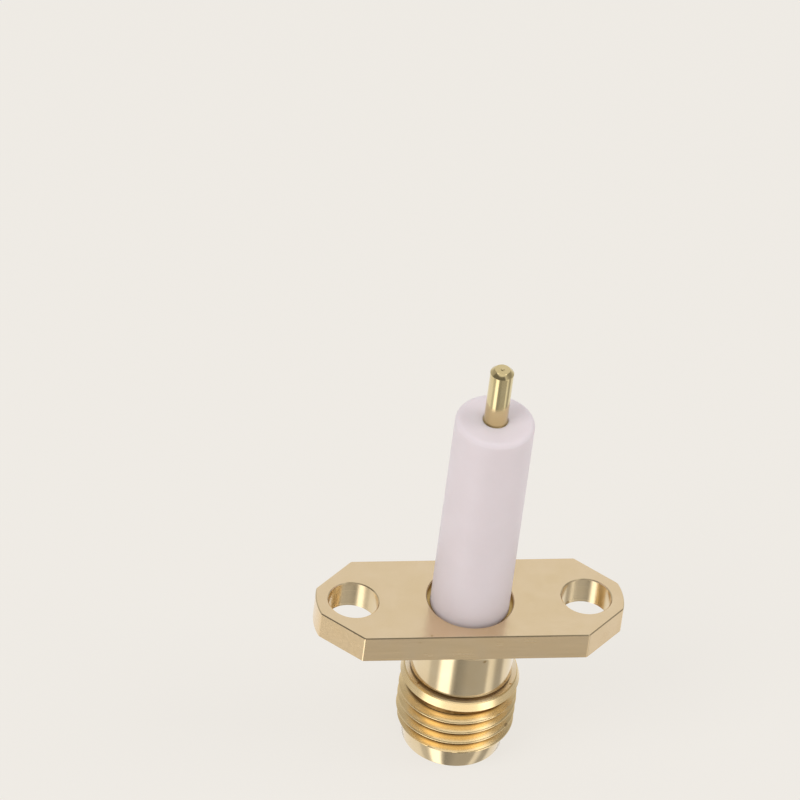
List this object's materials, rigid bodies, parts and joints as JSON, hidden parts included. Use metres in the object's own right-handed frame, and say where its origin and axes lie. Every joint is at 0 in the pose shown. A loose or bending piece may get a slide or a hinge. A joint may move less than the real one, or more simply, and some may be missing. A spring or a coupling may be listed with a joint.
{
  "type": "sma connector",
  "caption": "Coaxial panel jack: threaded mating barrel, oblong flange with fixing holes, a long PTFE dielectric and a solder pin on one axis.",
  "frame": {"origin": "centre of the mating rim", "axes": "+Z along the connector's axis towards the solder pin, +X along the flange's long direction, +Y across the flange"},
  "size_m": [0.0162, 0.0062, 0.0254],
  "materials": {
    "gold_plated_brass": "satin gold plate",
    "white_ptfe": "matte, slightly translucent",
    "gold_plated_contact": "bright gold plate"
  },
  "bodies": {
    "root": {"body": "gold_plated_brass", "dielectric": "white_ptfe", "contact": "gold_plated_contact"}
  },
  "joints": []
}
